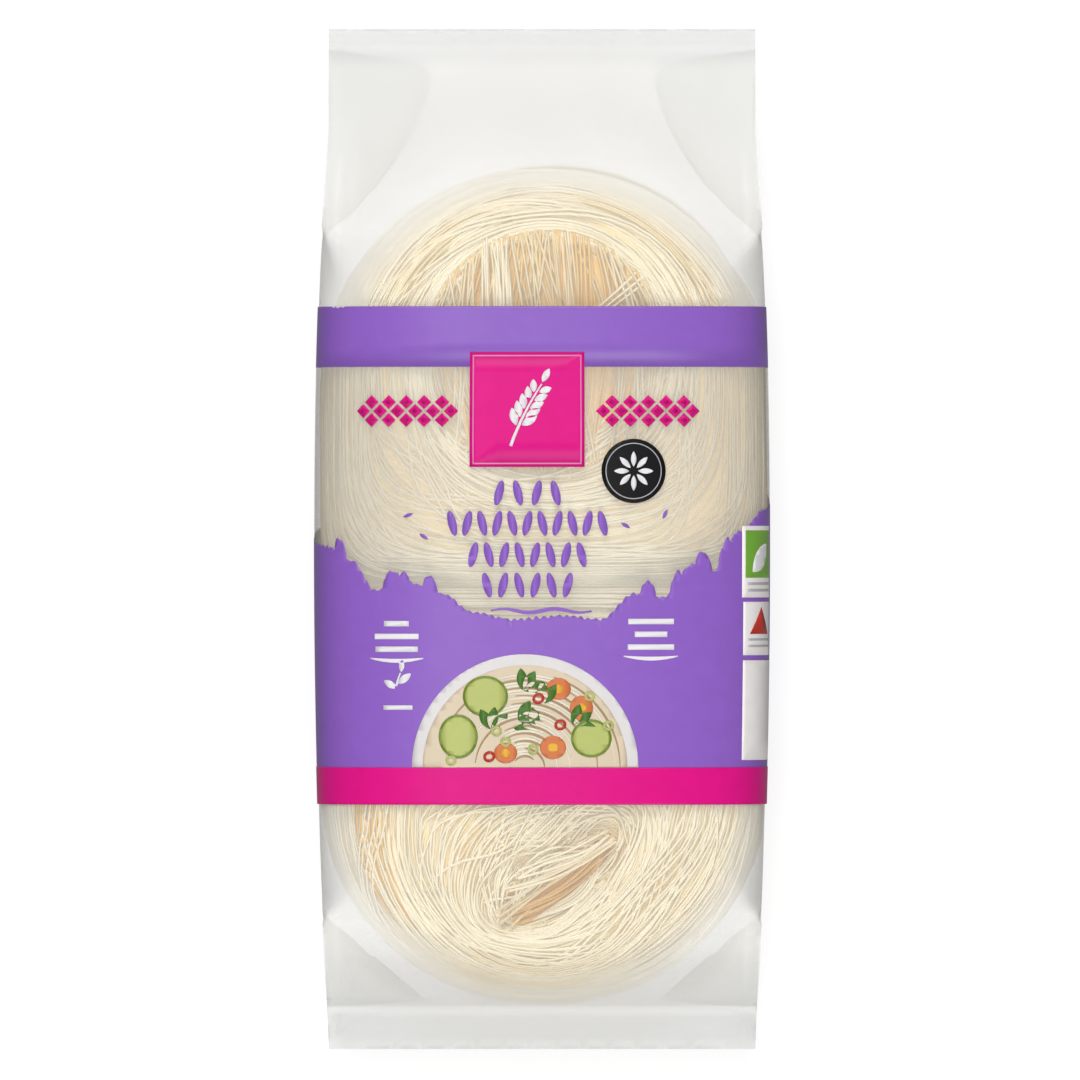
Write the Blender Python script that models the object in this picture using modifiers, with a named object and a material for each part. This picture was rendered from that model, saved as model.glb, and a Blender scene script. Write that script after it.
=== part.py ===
"""A sealed film pack of dried rice vermicelli nests in a printed wrap, lying on its back.

Metres, +Z up. The pack's head (the long loose end) points along +Y, its printed front faces +Z,
and the wrap's underside rests on z = 0. The origin is under the middle of the pack.
"""

import math

import bmesh
import bpy
import numpy as np

MM = 0.001

# Overall sizes of the pack.
PACK_LENGTH = 280.0 * MM
PACK_DEPTH = 58.0 * MM
BELLY_WIDTH = 126.0 * MM
END_WIDTH = 117.2 * MM

# The printed wrap: a band round the belly, loose of the bag by a small gap.
WRAP_HEAD_Y = 63.7 * MM
WRAP_FOOT_Y = -72.7 * MM
WRAP_THICKNESS = 0.4 * MM
WRAP_GAP = 0.3 * MM

# The bag's body is what the wrap leaves of the depth and width.
BAG_HALF_DEPTH = PACK_DEPTH / 2 - WRAP_THICKNESS - WRAP_GAP
BAG_HALF_WIDTH = BELLY_WIDTH / 2 - WRAP_THICKNESS - WRAP_GAP
BAG_END_HALF_WIDTH = END_WIDTH / 2
MID_HEIGHT = PACK_DEPTH / 2

# Where the body starts to close towards each end, and where its flat sealed tail begins.
HEAD_SHOULDER_Y = 80.0 * MM
HEAD_SEAL_Y = 134.5 * MM
FOOT_SHOULDER_Y = -99.0 * MM
FOOT_SEAL_Y = -128.5 * MM
SEAL_HALF_THICKNESS = 0.5 * MM
HEAD_DROOP = 5.0 * MM
FOOT_DROOP = 3.0 * MM

# How far from the belly the outline takes to narrow to the ends, and how fast.
HEAD_NARROWING = (112.0 * MM, 2.3)
FOOT_NARROWING = (138.0 * MM, 2.0)

# How the faces close over the shoulders: (power along, power of the round).
HEAD_CLOSING = (1.75, 1.0)
FOOT_CLOSING = (2.6, 0.62)

# The section: round-cornered where the nests fill it (superellipse powers of the crowned front and
# the flat back), and boxy with folded side gussets where the film stands off them.
FRONT_POWER = 3.0
BACK_POWER = 5.0
BACK_FLATTEN = 1.01
PANEL_CROWN = 0.05
HEAD_BOXY = (66.0 * MM, 92.0 * MM)
FOOT_BOXY = (-90.0 * MM, -110.0 * MM)

# Side gussets: each half of a side panel keeps its width, so it folds in as the bag closes.
GUSSET_HALF = 28.5 * MM
GUSSET_FLAP = 0.5 * MM
GUSSET_CLOSE = 4.0 * MM

# The taut front dips a little over each nest's eye and between the nests: (x, y, radius, depth).
FRONT_DIPS = (
    (5.0 * MM, 52.0 * MM, 24.0 * MM, 1.5 * MM),
    (6.0 * MM, -92.0 * MM, 15.0 * MM, 1.2 * MM),
)
NEST_SEAM_Y = -13.0 * MM
NEST_SEAM_REACH = 14.0 * MM
NEST_SEAM_DEPTH = 1.0 * MM

# Mesh fineness.
PANEL_STEPS = 8
SIDE_STEPS = 4
BODY_STEP = 9.0 * MM
SHOULDER_STEP = 3.6 * MM
WRAP_STEPS = 12


def clear_scene():
    for obj in list(bpy.data.objects):
        bpy.data.objects.remove(obj)


def new_collection(name):
    collection = bpy.data.collections.new(name)
    bpy.context.scene.collection.children.link(collection)
    return collection


def plain_material(name, colour, roughness, alpha=1.0):
    material = bpy.data.materials.new(name)
    material.use_nodes = True
    shader = material.node_tree.nodes["Principled BSDF"]
    shader.inputs["Base Color"].default_value = (*colour, 1.0)
    shader.inputs["Roughness"].default_value = roughness
    shader.inputs["Metallic"].default_value = 0.0
    shader.inputs["Alpha"].default_value = alpha
    return material


def ease(share):
    """A smooth step from 0 to 1."""
    share = min(1.0, max(0.0, share))
    return share * share * (3 - 2 * share)


def boxiness(y):
    """0 where the section is round-cornered, 1 where it is boxy and gusseted."""
    start, end = HEAD_BOXY if y > 0 else FOOT_BOXY
    return ease((y - start) / (end - start))


def closing(y):
    """(share of the body's depth left, share of the way to the seal) at y."""
    if y > HEAD_SHOULDER_Y:
        along = min(1.0, (y - HEAD_SHOULDER_Y) / (HEAD_SEAL_Y - HEAD_SHOULDER_Y))
        power, round_power = HEAD_CLOSING
    elif y < FOOT_SHOULDER_Y:
        along = min(1.0, (FOOT_SHOULDER_Y - y) / (FOOT_SHOULDER_Y - FOOT_SEAL_Y))
        power, round_power = FOOT_CLOSING
    else:
        return 1.0, 0.0
    return (1.0 - along**power) ** round_power, along


def half_depth(y):
    left, _ = closing(y)
    return SEAL_HALF_THICKNESS + (BAG_HALF_DEPTH - SEAL_HALF_THICKNESS) * left


def mid_height(y):
    """The height of the section's middle: the ends droop a little below the body's middle."""
    left, _ = closing(y)
    return MID_HEIGHT - (HEAD_DROOP if y > 0 else FOOT_DROOP) * (1.0 - left)


def half_width(y):
    reach, power = HEAD_NARROWING if y > 0 else FOOT_NARROWING
    narrowed = min(1.0, abs(y) / reach) ** power
    return BAG_HALF_WIDTH + (BAG_END_HALF_WIDTH - BAG_HALF_WIDTH) * narrowed


def gusset_depth(y):
    """How deep the side panel folds in at y, down to nothing where the layers are sealed."""
    depth = half_depth(y)
    folded = math.sqrt(max(0.0, GUSSET_HALF**2 - depth**2))
    opening = max(0.0, depth - SEAL_HALF_THICKNESS)
    return folded * ease(opening / GUSSET_CLOSE) * boxiness(y)


def front_dip(x, y):
    """How far the front film sinks at (x, y) between the high spots of the nests."""
    dip = sum(
        depth * math.exp(-((x - cx) ** 2 + (y - cy) ** 2) / (2 * radius**2))
        for cx, cy, radius, depth in FRONT_DIPS
    )
    return dip + NEST_SEAM_DEPTH * math.exp(-((y - NEST_SEAM_Y) / NEST_SEAM_REACH) ** 2 / 2)


def round_quarter(wide, deep, power):
    """Points of a superellipse's quarter, from its top centre to its side, closest at the corner."""
    panel = np.linspace(1.0, 0.0, PANEL_STEPS + 1) ** 1.3
    side = np.linspace(0.0, 1.0, SIDE_STEPS + 2)[1:]
    turn = np.concatenate([(1 + panel) * math.pi / 4, (1 - side) * math.pi / 4])
    x = wide * np.cos(turn).clip(0.0) ** (2 / power)
    z = deep * np.sin(turn).clip(0.0) ** (2 / power)
    return x, z


def folded_quarter(wide, deep, gusset):
    """A flat panel's half, the thin edge of its flap, and the side panel folded in to the middle."""
    across = np.linspace(0.0, 1.0, PANEL_STEPS + 1)
    down = np.linspace(0.0, 1.0, SIDE_STEPS + 1)
    flap = min(GUSSET_FLAP, 0.5 * deep)
    x = np.concatenate([wide * across, wide - gusset * down])
    z = np.concatenate([deep * (1 - PANEL_CROWN * across**2), np.zeros(SIDE_STEPS + 1)])
    z[PANEL_STEPS + 1 :] = (z[PANEL_STEPS] - flap) * (1 - down)
    return x, z


def quarter(y, grow, power):
    """A quarter of the section at y: x and z from the panel's middle to the side's middle."""
    wide, deep = half_width(y) + grow, half_depth(y) + grow
    round_x, round_z = round_quarter(wide, deep, power)
    folded_x, folded_z = folded_quarter(wide, deep, gusset_depth(y))
    boxy = boxiness(y)
    x = round_x + (folded_x - round_x) * boxy
    z = round_z + (folded_z - round_z) * boxy
    return x * wide / x.max(), z


def section(y, grow=0.0, dips=True):
    """The closed outline of the bag at y as (x, z) points, from the front's middle round the ring."""
    front_x, front_z = quarter(y, grow, FRONT_POWER)
    back_x, back_z = quarter(y, grow, BACK_POWER)
    back_z = np.minimum(back_z * BACK_FLATTEN, half_depth(y) + grow)
    if dips:
        share = (front_z / front_z[0]) ** 2
        right_z = front_z - share * np.array([front_dip(x, y) for x in front_x])
        left_z = front_z - share * np.array([front_dip(-x, y) for x in front_x])
    else:
        right_z = left_z = front_z
    x = np.concatenate([front_x[:-1], back_x[:0:-1], -back_x[:-1], -front_x[:0:-1]])
    z = np.concatenate([right_z[:-1], -back_z[:0:-1], -back_z[:-1], left_z[:0:-1]])
    return np.stack([x, z + mid_height(y)], axis=1)


def steps_between(start, end, step):
    count = max(1, round(abs(end - start) / step))
    return list(np.linspace(start, end, count, endpoint=False))


def loft(name, stations, outline, capped):
    """A tube of faces through the outline at each station along Y."""
    mesh = bmesh.new()
    rings = []
    for y in stations:
        rings.append([mesh.verts.new((x, y, z)) for x, z in outline(y)])
    for near, far in zip(rings, rings[1:]):
        for i in range(len(near)):
            j = (i + 1) % len(near)
            mesh.faces.new((near[i], near[j], far[j], far[i]))
    if capped:
        mesh.faces.new(rings[0])
        mesh.faces.new(rings[-1])
    bmesh.ops.recalc_face_normals(mesh, faces=mesh.faces)
    data = bpy.data.meshes.new(name)
    mesh.to_mesh(data)
    mesh.free()
    data.shade_smooth()
    data.set_sharp_from_angle(angle=math.radians(40))
    return bpy.data.objects.new(name, data)


def make_bag(collection):
    """The sealed bag and the nests that fill it, as one solid out to the film."""
    foot, head = -PACK_LENGTH / 2, PACK_LENGTH / 2
    stations = (
        steps_between(foot, FOOT_SEAL_Y, BODY_STEP)
        + steps_between(FOOT_SEAL_Y, FOOT_SHOULDER_Y, SHOULDER_STEP / 2)
        + steps_between(FOOT_SHOULDER_Y, HEAD_SHOULDER_Y, BODY_STEP)
        + steps_between(HEAD_SHOULDER_Y, HEAD_SEAL_Y, SHOULDER_STEP)
        + [HEAD_SEAL_Y, head]
    )
    bag = loft("bag", stations, section, capped=True)
    bag.data.materials.append(plain_material("bag_film", (0.86, 0.81, 0.70), 0.35, 0.9))
    collection.objects.link(bag)
    return bag


def make_wrap(collection):
    """The printed wrap: an open band that Solidify gives its wall, outwards from the gap."""
    stations = np.linspace(WRAP_FOOT_Y, WRAP_HEAD_Y, WRAP_STEPS + 1)
    wrap = loft("wrap", stations, lambda y: section(y, WRAP_GAP, dips=False), capped=False)
    wall = wrap.modifiers.new("wall", "SOLIDIFY")
    wall.thickness = WRAP_THICKNESS
    wall.offset = 1.0
    wrap.data.materials.append(plain_material("wrap_print", (0.30, 0.15, 0.60), 0.4))
    collection.objects.link(wrap)
    return wrap


def main():
    clear_scene()
    collection = new_collection("vermicelli_pack")
    make_bag(collection)
    make_wrap(collection)


main()
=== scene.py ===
"""Looks of a sealed film pack of dried rice vermicelli nests in a printed wrap, lying on its back."""

import math
import random

import bmesh
import bpy
import numpy as np
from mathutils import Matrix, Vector, noise
from mathutils.bvhtree import BVHTree


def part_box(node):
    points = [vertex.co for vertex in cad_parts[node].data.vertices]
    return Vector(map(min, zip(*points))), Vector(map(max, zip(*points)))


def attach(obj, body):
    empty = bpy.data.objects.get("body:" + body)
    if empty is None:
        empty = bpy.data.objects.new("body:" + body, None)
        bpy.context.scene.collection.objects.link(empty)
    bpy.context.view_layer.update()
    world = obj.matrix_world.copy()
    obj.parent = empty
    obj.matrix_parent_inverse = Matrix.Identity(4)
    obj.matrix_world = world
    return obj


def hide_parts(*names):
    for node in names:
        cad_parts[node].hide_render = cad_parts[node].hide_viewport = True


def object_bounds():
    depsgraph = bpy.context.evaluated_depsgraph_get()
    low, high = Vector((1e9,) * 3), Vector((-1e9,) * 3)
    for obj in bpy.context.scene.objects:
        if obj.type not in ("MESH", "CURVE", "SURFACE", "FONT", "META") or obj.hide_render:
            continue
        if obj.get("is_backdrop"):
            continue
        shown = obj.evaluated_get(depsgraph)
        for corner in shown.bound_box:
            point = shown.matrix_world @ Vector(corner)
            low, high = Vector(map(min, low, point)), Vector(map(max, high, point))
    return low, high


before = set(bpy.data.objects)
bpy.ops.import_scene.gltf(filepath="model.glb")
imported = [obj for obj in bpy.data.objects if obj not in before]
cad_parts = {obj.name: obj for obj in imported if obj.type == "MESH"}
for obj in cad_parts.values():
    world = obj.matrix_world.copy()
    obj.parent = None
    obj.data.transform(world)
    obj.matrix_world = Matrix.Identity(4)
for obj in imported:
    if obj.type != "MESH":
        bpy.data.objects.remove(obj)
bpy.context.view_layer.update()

MM = 0.001


# ---------------------------------------------------------------------------------------------
# The film bag: clear polypropylene with folded side gussets, sealed flat across both ends. It is
# blown and folded from one tube, so its skin is one closed sheet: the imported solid's own outside,
# made finer, then creased where it stands loose of the nests.
# ---------------------------------------------------------------------------------------------
BAG_LOW, BAG_HIGH = (Vector(corner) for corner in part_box("bag"))
WRAP_LOW, WRAP_HIGH = (Vector(corner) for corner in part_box("wrap"))
MIDDLE_Z = (WRAP_LOW.z + WRAP_HIGH.z) / 2
HEAD_SEAL_Y = BAG_HIGH.y - 5.5 * MM
FOOT_SEAL_Y = BAG_LOW.y + 11.5 * MM

# Each nest's outline in plan, which the taut film follows: a round outer end, and a squarer inner
# end where it is pressed against its neighbour: (centre x, centre y, half width, reach to the
# head, reach to the foot, power of the head end, power of the foot end).
NEST_OUTLINES = {
    "head": (1.0 * MM, 38.0 * MM, 61.5 * MM, 63.5 * MM, 52.5 * MM, 2.1, 9.0),
    "foot": (0.5 * MM, -66.0 * MM, 61.0 * MM, 54.5 * MM, 61.0 * MM, 9.0, 2.1),
}


def ease(share):
    """A smooth step from 0 to 1, on numbers or arrays."""
    share = np.clip(share, 0.0, 1.0)
    return share * share * (3 - 2 * share)


def off_the_nests(x, y):
    """How far a point of the plan is outside the nests' outlines, in metres; negative inside."""
    nearest = None
    for cx, cy, half_x, to_head, to_foot, head_power, foot_power in NEST_OUTLINES.values():
        ahead = y > cy
        power = np.where(ahead, head_power, foot_power)
        half_y = np.where(ahead, to_head, to_foot)
        reach = (np.abs((x - cx) / half_x) ** power + np.abs((y - cy) / half_y) ** power) ** (1 / power)
        apart = (reach - 1) * half_x
        nearest = apart if nearest is None else np.minimum(nearest, apart)
    return nearest


def new_piece(name, mesh):
    """An object for a finished mesh, riding on the part's one body."""
    piece = bpy.data.objects.new(name, mesh)
    bpy.context.scene.collection.objects.link(piece)
    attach(piece, "root")
    return piece


def only(piece):
    """Leaves one piece selected and active."""
    bpy.ops.object.select_all(action="DESELECT")
    piece.select_set(True)
    bpy.context.view_layer.objects.active = piece


def mesh_points(piece):
    points = np.empty(len(piece.data.vertices) * 3)
    piece.data.vertices.foreach_get("co", points)
    return points.reshape(-1, 3)


def point_values(piece, name, values):
    """Stores one number for each point of a piece, for its material to read."""
    attribute = piece.data.attributes.new(name, "FLOAT", "POINT")
    attribute.data.foreach_set("value", np.asarray(values, np.float32))


bag_film = new_piece("bag_film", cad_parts["bag"].data.copy())
bag_film.data.materials.clear()
only(bag_film)
bpy.ops.object.mode_set(mode="EDIT")
bpy.ops.mesh.select_all(action="SELECT")
bpy.ops.mesh.remove_doubles(threshold=0.00001)
bpy.ops.mesh.tris_convert_to_quads(face_threshold=math.radians(60), shape_threshold=math.radians(60))
bpy.ops.mesh.select_all(action="DESELECT")
bpy.ops.object.mode_set(mode="OBJECT")
for tail_y in (BAG_LOW.y, BAG_HIGH.y):
    for face in bag_film.data.polygons:
        face.select = abs(face.center.y - tail_y) < 0.1 * MM
    bpy.ops.object.mode_set(mode="EDIT")
    bpy.ops.mesh.dissolve_faces()
    bpy.ops.mesh.select_all(action="DESELECT")
    bpy.ops.object.mode_set(mode="OBJECT")
fold_edges = bag_film.data.attributes.new("crease_edge", "FLOAT", "EDGE")
shell = bmesh.new()
shell.from_mesh(bag_film.data)
for edge in shell.edges:
    folded = len(edge.link_faces) == 2 and edge.calc_face_angle() > math.radians(48)
    fold_edges.data[edge.index].value = 1.0 if folded else 0.0
shell.free()
finer = bag_film.modifiers.new("finer", "SUBSURF")
finer.levels = finer.render_levels = 2
bpy.ops.object.modifier_apply(modifier="finer")

# Soft folds: long ones up the loose head, slanting ones from the nests to the corners, fine crackle.
points = mesh_points(bag_film)
normals = np.array([vertex.normal[:] for vertex in bag_film.data.vertices])
x, y, z = points.T
apart = off_the_nests(x, y)
loose = ease((apart + 4 * MM) / (22 * MM))
sealed = np.maximum(ease((y - HEAD_SEAL_Y + 9 * MM) / (9 * MM)), ease((FOOT_SEAL_Y + 5 * MM - y) / (5 * MM)))
slant = np.abs(x) * 0.75 + np.abs(y) * 0.55
wander = np.array([noise.noise(Vector((px * 28, py * 9, pz * 9))) for px, py, pz in points])
folds = np.sin(x / (5.2 * MM) + 3.1 * wander) * 0.35 + np.sin(slant / (3.4 * MM) + 4.0 * wander) * 0.25
crackle = np.array([noise.noise(Vector((px * 120, py * 70, pz * 70 + 5))) for px, py, pz in points])
at_edge = ease((np.abs(x) - 50 * MM) / (7 * MM))
drop = (0.45 + 0.55 * folds + 0.30 * crackle) * loose * (1 - sealed) * (1 - at_edge)
touching = 0.12 * (1 - loose) * np.array(
    [noise.noise(Vector((px * 60, py * 60, pz * 60))) for px, py, pz in points]
)
points -= normals * ((drop * 0.9 + touching) * MM)[:, None]


def half_widths(points, stations):
    """The widest reach to either side near each station along the pack."""
    return np.array([np.abs(points[np.abs(points[:, 1] - y) < 2.6 * MM, 0]).max() for y in stations])


# The folded edges stay straight and as wide as the solid's.
stations = np.linspace(BAG_LOW.y, BAG_HIGH.y, 121)
bag_solid = np.array([vertex.co[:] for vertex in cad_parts["bag"].data.vertices])
rows = np.unique(bag_solid[:, 1].round(5))
solid_half = np.array([np.abs(bag_solid[np.abs(bag_solid[:, 1] - y) < 0.02 * MM, 0]).max() for y in rows])
widen = np.interp(stations, rows, solid_half) / half_widths(points, stations)
points[:, 0] *= np.interp(points[:, 1], stations, np.convolve(np.pad(widen, 2, "edge"), np.ones(5) / 5, "valid"))
points[:, 1] = np.clip(points[:, 1], BAG_LOW.y, BAG_HIGH.y)
bag_film.data.vertices.foreach_set("co", points.ravel())

# How milky the film looks: clear where it lies on the strands, veiled where it stands off them.
x, y, z = points.T
under_wrap = ease((y - WRAP_LOW.y) / (5 * MM)) * ease((WRAP_HIGH.y - y) / (5 * MM))
veil = ease((off_the_nests(x, y) + 11 * MM) / (15 * MM)) * (1 - 0.85 * under_wrap)
# Painted light: a milkier band along the nests' rims, outside the wrap, lightens their shaded sides.
rim_veil = np.exp(-(((off_the_nests(x, y) + 2 * MM) / (4.5 * MM)) ** 2)) * (1 - under_wrap)
haze = 0.19 + 0.33 * veil + 0.12 * rim_veil
edge_seal = ease(1 - np.abs(np.abs(x) - (58.6 - 2.7) * MM) / (0.9 * MM)) * loose
haze += 0.10 * edge_seal
head_band = ease((y - (BAG_HIGH.y - 3.9 * MM)) / (0.8 * MM))
foot_lines = ease(1 - np.abs(y - (BAG_LOW.y + 2.2 * MM)) / (0.8 * MM)) + ease(
    1 - np.abs(y - (BAG_LOW.y + 5.5 * MM)) / (0.8 * MM)
)
foot_band = ease((FOOT_SEAL_Y - y) / (1.5 * MM))
haze += 0.05 * head_band + 0.06 * foot_lines + 0.05 * foot_band
point_values(bag_film, "haze", np.clip(haze, 0, 0.8))
# Painted shade: the film's colour is darkened towards its shaded colour over the head seal, and in part over the foot
# band, where the flat seals would otherwise look lighter.
head_seal = ease((y - HEAD_SEAL_Y + 6 * MM) / (7 * MM))
point_values(bag_film, "shade", np.clip(head_seal + 0.6 * foot_band, 0, 1))
only(bag_film)
bpy.ops.object.shade_smooth_by_angle(angle=math.radians(40))


def film_crackle():
    """Fine stiff crackle of packing film, as a height to bump with."""
    group = bpy.data.node_groups.new("film_crackle", "ShaderNodeTree")
    group.interface.new_socket("Scale", in_out="INPUT", socket_type="NodeSocketFloat")
    group.interface.new_socket("Height", in_out="OUTPUT", socket_type="NodeSocketFloat")
    given = group.nodes.new("NodeGroupInput")
    result = group.nodes.new("NodeGroupOutput")
    place = group.nodes.new("ShaderNodeTexCoord")
    ripples = group.nodes.new("ShaderNodeTexNoise")
    ripples.inputs["Detail"].default_value = 2.0
    ripples.inputs["Distortion"].default_value = 0.8
    group.links.new(place.outputs["Object"], ripples.inputs["Vector"])
    group.links.new(given.outputs["Scale"], ripples.inputs["Scale"])
    group.links.new(ripples.outputs["Fac"], result.inputs["Height"])
    return group


FILM_CRACKLE = film_crackle()


def crackled(nodes, links, shader, scale, depth):
    """Bumps a shader with the film's crackle."""
    relief = nodes.new("ShaderNodeGroup")
    relief.node_tree = FILM_CRACKLE
    relief.inputs["Scale"].default_value = scale
    bump = nodes.new("ShaderNodeBump")
    bump.inputs["Strength"].default_value = 0.5
    bump.inputs["Distance"].default_value = depth
    links.new(relief.outputs["Height"], bump.inputs["Height"])
    links.new(bump.outputs["Normal"], shader.inputs["Normal"])


def milky_film(name, colour, shaded):
    """Milky film: how milky comes from the piece's haze, and how near the shaded colour from its
    shade, which paints shade into the film's colour."""
    material = bpy.data.materials.new(name)
    material.use_nodes = True
    nodes, links = material.node_tree.nodes, material.node_tree.links
    shader = nodes["Principled BSDF"]
    shader.inputs["Base Color"].default_value = (*colour, 1.0)
    shader.inputs["Roughness"].default_value = 0.36
    shader.inputs["IOR"].default_value = 1.49
    shader.inputs["Specular IOR Level"].default_value = 0.15
    hazy, shade = nodes.new("ShaderNodeAttribute"), nodes.new("ShaderNodeAttribute")
    hazy.attribute_name, shade.attribute_name = "haze", "shade"
    tint = nodes.new("ShaderNodeMix")
    tint.data_type = "RGBA"
    tint.inputs["A"].default_value = (*colour, 1.0)
    tint.inputs["B"].default_value = (*shaded, 1.0)
    links.new(shade.outputs["Fac"], tint.inputs["Factor"])
    links.new(tint.outputs["Result"], shader.inputs["Base Color"])
    links.new(hazy.outputs["Fac"], shader.inputs["Alpha"])
    crackled(nodes, links, shader, 160.0, 0.00012)
    return material


# The second colour is the bag film's painted shade, used on its seals.
bag_film.data.materials.append(milky_film("milky_bag_film", (0.92, 0.92, 0.90), (0.78, 0.78, 0.765)))
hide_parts("bag")


# ---------------------------------------------------------------------------------------------
# The nests: rice vermicelli about 0.8 mm thick, coiled by hand while damp and dried hard. Two lie
# in front and two behind. Each is a tight core of strands under loose locks that wind round an eye.
# ---------------------------------------------------------------------------------------------
STRAND_RADIUS = 0.37 * MM
FILM_CLEARANCE = 0.75 * MM
SECTION_POWER = 2.5
NEST_WIDTHS_PER_RADIAN = 17.5 * MM

film_tree = BVHTree.FromPolygons(
    [vertex.co for vertex in bag_film.data.vertices],
    [face.vertices for face in bag_film.data.polygons],
)
FAR = 0.3
UP, DOWN = Vector((0, 0, 1)), Vector((0, 0, -1))


def film_height(x, y, front):
    """The height of the film above or below a point of the plan."""
    start = Vector((x, y, FAR if front else -FAR))
    hit = film_tree.ray_cast(start, DOWN if front else UP)[0]
    return hit.z if hit is not None else MIDDLE_Z


def film_side(y, z, side):
    """How far out the film is, to one side, at a given height."""
    hit = film_tree.ray_cast(Vector((side * FAR, y, z)), Vector((-side, 0, 0)))[0]
    return abs(hit.x) if hit is not None else BAG_HIGH.x


# Every nest: which outline it has, front or back layer, and its eye as
# (centre x, centre y, half length, half width, turn of its long axis).
NESTS = {
    "nest_head_front": ("head", True, (1.0 * MM, 54.0 * MM, 25.0 * MM, 24.0 * MM, 80.0)),
    "nest_foot_front": ("foot", True, (4.5 * MM, -96.0 * MM, 15.0 * MM, 2.4 * MM, 38.0)),
    "nest_head_back": ("head", False, (-6.0 * MM, 38.0 * MM, 18.0 * MM, 7.0 * MM, 20.0)),
    "nest_foot_back": ("foot", False, (4.0 * MM, -64.0 * MM, 15.0 * MM, 9.0 * MM, 110.0)),
}
LAYER_OVERLAP = 1.0 * MM


def round_power(value, power):
    return np.sign(value) * np.abs(value) ** power


def nest_plan(nest, angle, share):
    """Points of the plan at a share of the way from the eye's rim (0) to the outer rim (1)."""
    outline, _, (eye_x, eye_y, eye_long, eye_wide, eye_turn) = nest
    cx, cy, half_x, to_head, to_foot, head_power, foot_power = NEST_OUTLINES[outline]
    turn = math.radians(eye_turn)
    along = eye_long * np.cos(angle - turn)
    across = eye_wide * np.sin(angle - turn)
    inner_x = eye_x + along * math.cos(turn) - across * math.sin(turn)
    inner_y = eye_y + along * math.sin(turn) + across * math.cos(turn)
    ahead = np.sin(angle) > 0
    power = 2 / (2 + (np.where(ahead, head_power, foot_power) - 2) * np.clip(share, 0, 1) ** 3)
    outer_x = cx + half_x * round_power(np.cos(angle), power)
    outer_y = cy + np.where(ahead, to_head, to_foot) * round_power(np.sin(angle), power)
    return inner_x + (outer_x - inner_x) * share, inner_y + (outer_y - inner_y) * share


def nest_points(nest, angle, roll, depth, outward=0.0):
    """Points of a nest: angle goes round its eye, roll round its section (0 outer side, pi / 2
    top), depth is 1 on its surface and 0 in the middle of its section, and outward is a shift."""
    share = 0.5 + 0.5 * depth * round_power(np.cos(roll), 2 / SECTION_POWER) + outward
    rise = depth * round_power(np.sin(roll), 2 / SECTION_POWER)
    x, y = nest_plan(nest, angle, share)
    front = nest[1]
    placed = np.empty((len(x), 3))
    for i, (px, py, up) in enumerate(zip(x, y, rise)):
        film = film_height(px, py, front)
        if front:
            low, high = MIDDLE_Z - LAYER_OVERLAP, film - FILM_CLEARANCE
        else:
            low, high = film + FILM_CLEARANCE, MIDDLE_Z + LAYER_OVERLAP
        height = low + (high - low) * (up + 1) / 2
        if abs(px) > 44 * MM:
            limit = film_side(py, height, math.copysign(1, px)) - FILM_CLEARANCE
            px = math.copysign(min(abs(px), limit), px)
        placed[i] = px, py, height
    return placed


def strands_mesh(name, paths, radius=STRAND_RADIUS):
    """One mesh of round strands along the given paths, swept as bevelled curves."""
    curve = bpy.data.curves.new(name, "CURVE")
    curve.dimensions = "3D"
    curve.bevel_depth = radius
    curve.bevel_resolution = 0
    curve.use_fill_caps = True
    for path in paths:
        spline = curve.splines.new("POLY")
        spline.points.add(len(path) - 1)
        spline.points.foreach_set("co", np.column_stack([path, np.ones(len(path))]).ravel())
    swept = bpy.data.objects.new(name + "_curve", curve)
    bpy.context.scene.collection.objects.link(swept)
    mesh = bpy.data.meshes.new_from_object(swept.evaluated_get(bpy.context.evaluated_depsgraph_get()))
    bpy.data.objects.remove(swept)
    bpy.data.curves.remove(curve)
    mesh.name = name
    mesh.shade_smooth()
    return mesh


POINTS_PER_TURN = 50


def wave(angle, rng, size, rates):
    """A smooth random wander round the nest."""
    return sum(
        rng.uniform(-size, size) / rate**0.6 * np.sin(rate * angle + rng.uniform(0, 2 * math.pi))
        for rate in rates
    )


def lock_of_strands(nest, rng, roll, depth, strands, wander):
    """Strands that lie side by side round part of a nest or a little more than once round it."""
    turns = rng.uniform(0.5, 1.3)
    start = rng.uniform(0, 2 * math.pi)
    steps = max(8, int(POINTS_PER_TURN * turns))
    angle = start + np.linspace(0, 2 * math.pi * turns, steps)
    drift = wave(angle, rng, wander, (1, 2, 3))
    dive = wave(angle, rng, 0.04, (1, 2, 4))
    ends = ease(np.minimum(np.linspace(0, 1, steps), np.linspace(1, 0, steps)) * turns * 6)
    outward = rng.gauss(0, 0.014)
    spacing = 2.0 * STRAND_RADIUS / NEST_WIDTHS_PER_RADIAN * rng.uniform(0.95, 1.4)
    paths = []
    for i in range(strands):
        place = (i - (strands - 1) / 2) * spacing + rng.gauss(0, 0.35 * spacing)
        own = wave(angle, rng, 0.012, (5, 8, 11))
        sunk = depth - abs(rng.gauss(0, 0.02)) + dive - 0.15 * (1 - ends)
        path = nest_points(nest, angle, roll + drift + place + own, np.clip(sunk, 0.3, 1.0), outward)
        paths.append(path)
    return paths


RIM_LEVEL = 0.95


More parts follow.
